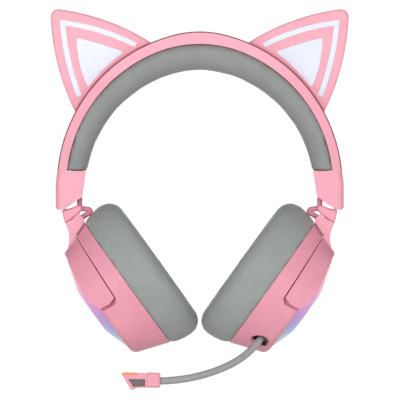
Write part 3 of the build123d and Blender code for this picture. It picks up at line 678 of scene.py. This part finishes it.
def stop_pads():
    """Rubber pad under the hub of each yoke, which the cup rests on at its tilt stop."""
    for side, sign in SIDES.items():
        rows = []
        for k in range(13):
            u = -9.6 + 9.8 * k / 12
            low = 48.35 + u * math.tan(math.radians(19))  # just over the shell, which tapers outwards
            top = 49.05 + u * 0.37  # the hub's underside
            half = [(0, low), (2.8, low), (3.2, low + 0.1), (3.2, top)]
            ring = [(-y, v) for y, v in reversed(half[1:])] + half
            rows.append([cup_point(u, y, v, sign) for y, v in ring])
        pad = grid_mesh(f"tilt_stop_pad_{side}", rows, close_columns=True, caps=True)
        paint(pad, "rubber")
        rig.ride(pad, f"yoke_{side}_body")
        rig.slot(pad, "inner_plastic")


def tube(name, points, radius, segments=16, caps=True):
    """Round tube through points."""
    rings = []
    last = None
    for i, p in enumerate(points):
        way = (points[min(i + 1, len(points) - 1)] - points[max(i - 1, 0)]).normalized()
        side = last - way * last.dot(way) if last else way.orthogonal()
        side.normalize()
        last = side
        other = way.cross(side)
        r = radius(i) if callable(radius) else radius
        rings.append(
            [
                p + (side * math.cos(a) + other * math.sin(a)) * r
                for a in (2 * math.pi * k / segments for k in range(segments))
            ]
        )
    return grid_mesh(name, rings, close_columns=True, caps=caps)


def cushion_seams():
    """Sewn welt round the hole of each ear cushion, with its stitches."""
    for side, sign in SIDES.items():
        loop = []
        count = 180
        for i in range(count + 1):
            angle = 2 * math.pi * i / count
            loop.append(cup_point(24.3, OVAL * 34.0 * math.sin(angle), 34.0 * math.cos(angle), sign))
        welt = tube(f"cushion_welt_{side}", loop, 0.6 * MM, 8, caps=False)
        stitches = []
        for i in range(96):
            angle = 2 * math.pi * i / 96
            ends = []
            for step in (-0.011, 0.011):
                across, up = math.sin(angle + step), math.cos(angle + step)
                ends.append(cup_point(25.0, OVAL * 36.4 * across, 36.4 * up, sign))
            stitches.append(ends)
        thread = stitch_mesh(f"cushion_stitches_{side}", stitches, 0.22 * MM)
        for piece, material in ((welt, "leather"), (thread, "thread")):
            paint(piece, material)
            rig.ride(piece, f"cup_{side}")
            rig.slot(piece, "grey_leather")


def stitch_mesh(name, stitches, radius):
    """Short rounded threads between pairs of points, as one mesh."""
    made = bmesh.new()
    for a, b in stitches:
        way = b - a
        turn = way.to_track_quat("Z", "Y").to_matrix().to_4x4()
        place = Matrix.Translation((a + b) / 2) @ turn @ Matrix.Diagonal((1, 1, way.length / radius / 2, 1))
        bmesh.ops.create_icosphere(made, subdivisions=1, radius=radius, matrix=place)
    mesh = bpy.data.meshes.new(name)
    made.to_mesh(mesh)
    made.free()
    obj = link(name, mesh)
    smooth(obj)
    return obj


def scrims():
    """Cloth stretched over each driver, bulging a little, with its weave as fine ridges."""
    for side, sign in SIDES.items():
        rows = []
        for i in range(41):
            r = 27.3 * i / 40 + 0.01
            row = []
            for k in range(120):
                angle = 2 * math.pi * k / 120
                y, v = r * math.sin(angle) * OVAL, r * math.cos(angle)
                weave = 0.05 * (math.sin(y * 5.2) + math.sin(v * 5.2))
                u = 1.15 + 1.3 * (1 - (r / 27.3) ** 2) + weave
                row.append(cup_point(u, y, v, sign))
            rows.append(row)
        cover = grid_mesh(f"scrim_cover_{side}", rows, close_columns=True)
        paint(cover, "scrim")
        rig.replaces(cover, f"scrim_{side}")
        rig.ride(cover, f"cup_{side}")
        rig.slot(cover, "scrim_cloth")


BAND = {  # mm: height of the crown, its radius, radius of the sides, how far out their centres are
    "middle": (16.8, 76.0, 95.1, 7.2),
    "inner": (0.0, 54.0, 78.3, 3.6),
}


def arch_point(which, share, low_z=-66.7):
    """Point (x, z) in mm on one of the headband's arches, share from -1 (right end) to 1 (left end)."""
    top, crown_r, side_r, side_x = BAND[which]
    step = side_r - crown_r
    join = math.asin(side_x / step)
    crown_z = top - crown_r
    side_z = crown_z - step * math.cos(join)
    end = math.radians(90) - math.asin((low_z - side_z) / side_r)
    length = crown_r * join + side_r * (end - join)
    along = abs(share) * length
    if along < crown_r * join:
        angle = along / crown_r
        x, z = crown_r * math.sin(angle), crown_z + crown_r * math.cos(angle)
    else:
        angle = join + (along - crown_r * join) / side_r
        x, z = side_r * math.sin(angle) - side_x, side_z + side_r * math.cos(angle)
    return math.copysign(x, share), z


def band_cushion():
    """Long pad under the headband: flat against the shell, full and rounded towards the head."""
    rows = []
    count = 150
    shares = [-1 + 2 * i / count for i in range(count + 1)]
    shares[1:1] = [-0.9995, -0.996]
    shares[-1:-1] = [0.996, 0.9995]
    for share in shares:
        top_x, top_z = arch_point("middle", share)
        low_x, low_z = arch_point("inner", share)
        top, low = Vector((top_x, 0, top_z)), Vector((low_x, 0, low_z))
        deep = (low - top).length
        down = (low - top) / deep
        height = (top_z + low_z) / 2
        half = 14.0 + 3.3 * min(1, max(0, (height + 66) / 60)) ** 0.8
        corner = min(11.0, deep * 0.68)
        ring = []
        outline = [(-half + 0.9, 0.15), (-half + 0.1, 0.9), (-half, 2.4), (-half, (deep - corner) * 0.6)]
        for k in range(9):
            angle = math.radians(90 * k / 8)
            across = -half + corner - corner * math.cos(angle)
            outline.append((across, deep - corner + corner * math.sin(angle)))
        full = outline + [(-y, d) for y, d in reversed(outline)]
        for y, d in full:
            crown = 0.5 * (1 - (y / half) ** 2) if d > deep * 0.8 else 0
            puff = noise.noise(Vector((share * 9, y * 0.06, d * 0.08))) * 0.22 if d > 1 else 0
            p = top + down * min(d + puff - 0.35 + crown * 0.4, deep)
            ring.append(Vector((p.x, y * (1 + puff * 0.006), p.z)) * MM)
        rows.append(ring)
    pad = grid_mesh("band_cushion_cover", rows, close_columns=True, caps=True)
    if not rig.quick():
        inflate(pad, pressure=1.2, cap=0.0006, voxel=0.003)
    subdivision = pad.modifiers.new("subdivision", "SUBSURF")
    subdivision.levels = subdivision.render_levels = 1
    # the darker, painted-shade copy of the grey leather
    paint(pad, "shaded_band_leather")
    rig.replaces(pad, "band_cushion")
    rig.ride(pad, "headband")
    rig.slot(pad, "grey_leather")
    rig.padded(pad, fill=0.85)


# Flexible pieces ------------------------------------------------------------------------------------------


def cables():
    """Cable out of each end cap, past the stem, round its loop and into the yoke."""
    for side, sign in SIDES.items():
        corners = [(-79.2, -56), (-79.2, -72), (-79.2, -86), (-79.2, -91.0), (-76.2, -91.6)]
        corners += [(-72.4, -92.0), (-72.0, -94.2), (-74.6, -95.2), (-76.6, -96.6), (-78.7, -98.0)]
        route = [Vector((x * sign, 0, z)) * MM for x, z in corners]
        cable = tube(f"cable_cover_{side}", spline_points(route, 70), CABLE_R, 16)
        paint(cable, "cable")
        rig.replaces(cable, f"cable_{side}")
        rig.slot(cable, "pink_cable")
        start = Vector((-72.8 * sign, 0, -93.0)) * MM
        end = Vector((-76.4 * sign, 0, -96.4)) * MM
        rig.blend(cable, f"slider_{side}", f"yoke_{side}_body", start=start, end=end)


def spline_points(control, count):
    """Evenly spread points on a smooth curve through control points."""
    curve = bpy.data.curves.new("route", "CURVE")
    curve.dimensions = "3D"
    spline = curve.splines.new("NURBS")
    spline.points.add(len(control) - 1)
    for point, at in zip(spline.points, control):
        point.co = (*at, 1)
    spline.order_u = 3
    spline.use_endpoint_u = True
    curve.resolution_u = 12
    holder = bpy.data.objects.new("route", curve)
    bpy.context.scene.collection.objects.link(holder)
    graph = bpy.context.evaluated_depsgraph_get()
    mesh = bpy.data.meshes.new_from_object(holder.evaluated_get(graph))
    line = [v.co.copy() for v in mesh.vertices]
    bpy.data.objects.remove(holder)
    bpy.data.meshes.remove(mesh)
    lengths = [0.0]
    for a, b in zip(line, line[1:]):
        lengths.append(lengths[-1] + (b - a).length)
    made = []
    k = 0
    for i in range(count + 1):
        want = lengths[-1] * i / count
        while k < len(line) - 2 and lengths[k + 1] < want:
            k += 1
        share = (want - lengths[k]) / max(lengths[k + 1] - lengths[k], 1e-9)
        made.append(line[k].lerp(line[k + 1], min(1, share)))
    return made


def boom_route():
    """The boom's path on the left cup: a function of the distance in mm from where its curve starts,
    the distance at which the first arc meets the second, and the distance at its end."""
    port = cup_point(-15.2, -21.6, -34.8, -1)
    out = (cup_point(0.08, -0.45, -0.889, -1) - cup_point(0, 0, 0, -1)).normalized()
    inward = Vector((-1, 0, 0))
    inside = (inward - out * inward.dot(out)).normalized()
    turn = math.radians(26.5)
    first_r, second_r = 58.0 * MM, 96.0 * MM
    start = port + out * 4 * MM
    join = start + out * first_r * math.sin(turn) + inside * first_r * (1 - math.cos(turn))
    way = out * math.cos(turn) + inside * math.sin(turn)
    side = inside * math.cos(turn) - out * math.sin(turn)
    first_length = turn * first_r / MM

    def at(distance):
        if distance < 0:
            return start + out * distance * MM
        if distance < first_length:
            a = distance * MM / first_r
            return start + out * (first_r * math.sin(a)) + inside * (first_r * (1 - math.cos(a)))
        a = (distance - first_length) * MM / second_r
        return join + way * (second_r * math.sin(a)) + side * (second_r * (1 - math.cos(a)))

    return at, first_length, first_length + turn * second_r / MM


def boom():
    """Gooseneck in two pieces that meet halfway between the bends, each bending across one of them."""
    at, bend, whole = boom_route()
    half = bend / 2
    first = [at(d) for d in (-27, -19, -11)] + [at(-4 + (half + 4) * i / 20) for i in range(21)]
    second = [at(half + (whole + 0.8 - half) * i / 44) for i in range(45)]
    inner = tube("boom_cover_inner", first, lambda i: BOOM_R_IN_PORT if i < 4 else BOOM_R, 20)
    outer = tube("boom_cover_outer", second, BOOM_R, 20)
    for piece in (inner, outer):
        paint(piece, "boom")
        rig.slot(piece, "rubber_grey")
    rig.replaces(inner, "boom_root", "boom_inner")
    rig.replaces(outer, "boom_outer")
    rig.blend(inner, "boom_root_body", "boom_inner_body", start=at(-3), end=at(7))
    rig.blend(outer, "boom_inner_body", "boom_outer_body", start=at(bend - 10), end=at(bend + 10))


# Stage ----------------------------------------------------------------------------------------------------


def turned_mesh(name, profile, count):
    """Surface of revolution about Z through (radius, z) points."""
    rows = []
    for k in range(count):
        angle = 2 * math.pi * k / count
        rows.append([Vector((r * math.cos(angle), r * math.sin(angle), z)) for r, z in profile])
    return grid_mesh(name, rows, close_rows=True)


def stage():
    """Pale round floor that fades to white, a white surround that only the camera sees, and soft lights."""
    floor = turned_mesh("floor", [(r, FLOOR_Z) for r in (0.0005, 0.3, 0.8, 1.6)], 96)
    s = Shader("floor_paper")
    pale = [(0.3, (0.90, 0.90, 0.90)), (0.7, (0.93, 0.93, 0.93))]
    s.join(s.ramp(s.noise(3, 2), pale), s.bsdf.inputs["Base Color"])
    s.bump(s.noise(700, 3), 0.2, 0.0002)
    s.fill(s.bsdf, "Roughness", 0.9)
    parts = s.add("ShaderNodeSeparateXYZ")
    s.join(s.place, parts.inputs[0])
    across = s.maths("MULTIPLY", parts.outputs["X"], parts.outputs["X"])
    along = s.maths("MULTIPLY", parts.outputs["Y"], parts.outputs["Y"])
    far = s.maths("SQRT", s.maths("ADD", across, along))
    glow = s.ramp(s.span(far, 0.15, 1.5, 0, 1), [(0, (0, 0, 0)), (1, (1, 1, 1))])
    s.join(glow, s.bsdf.inputs["Emission Color"])
    s.fill(s.bsdf, "Emission Strength", 0.9)
    floor.data.materials.append(s.material)
    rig.stage(floor)
    arc = [math.radians(-60 + 150 * k / 24) for k in range(25)]
    outline = [(SURROUND_R * math.cos(a) + 0.01, SURROUND_R * math.sin(a)) for a in arc]
    surround = turned_mesh("surround", outline, 64)
    for kind in ("diffuse", "glossy", "transmission", "volume_scatter", "shadow"):
        setattr(surround, f"visible_{kind}", False)
    s = Shader("surround_white")
    s.fill(s.bsdf, "Base Color", (0, 0, 0, 1))
    s.fill(s.bsdf, "Specular IOR Level", 0)
    s.fill(s.bsdf, "Emission Color", (1, 1, 1, 1))
    s.fill(s.bsdf, "Emission Strength", 1.05)
    surround.data.materials.append(s.material)
    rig.stage(surround)
    lights = [  # name, place, size in metres, power in watts
        ("key", (-0.2, -2.7, 0.45), 0.9, 29),
        ("fill_right", (-1.2, -2.1, -0.1), 0.8, 8),
        ("fill_left", (1.2, -2.1, -0.1), 0.8, 7.5),
        ("top", (0.0, 0.2, 2.0), 2.2, 12),
        ("behind", (0.0, 2.5, -0.1), 1.6, 32),
        ("right", (-2.4, 0.2, -0.1), 1.2, 4.5),
        ("left", (2.4, 0.2, -0.1), 1.2, 4.5),
    ]
    for name, place, size, power in lights:
        data = bpy.data.lights.new(name, "AREA")
        data.size = size
        data.energy = power
        lamp = bpy.data.objects.new(name, data)
        bpy.context.scene.collection.objects.link(lamp)
        lamp.location = place
        target = Vector((0, 0, -0.09))
        lamp.rotation_euler = (target - Vector(place)).to_track_quat("-Z", "Y").to_euler()
        lamp.visible_camera = False
    world = bpy.data.worlds.new("world")
    bpy.context.scene.world = world
    world.use_nodes = True
    world.node_tree.nodes["Background"].inputs["Color"].default_value = (1, 1, 1, 1)
    world.node_tree.nodes["Background"].inputs["Strength"].default_value = 0.18


dress_cad_nodes()
ear_cushion()
cushion_seams()
band_cushion()
scrims()
stop_pads()
cables()
boom()
stage()
sizes = {"cad": cad_box, "visual": [list(corner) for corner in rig.bounds()]}
json.dump(sizes, open("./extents.json", "w"))
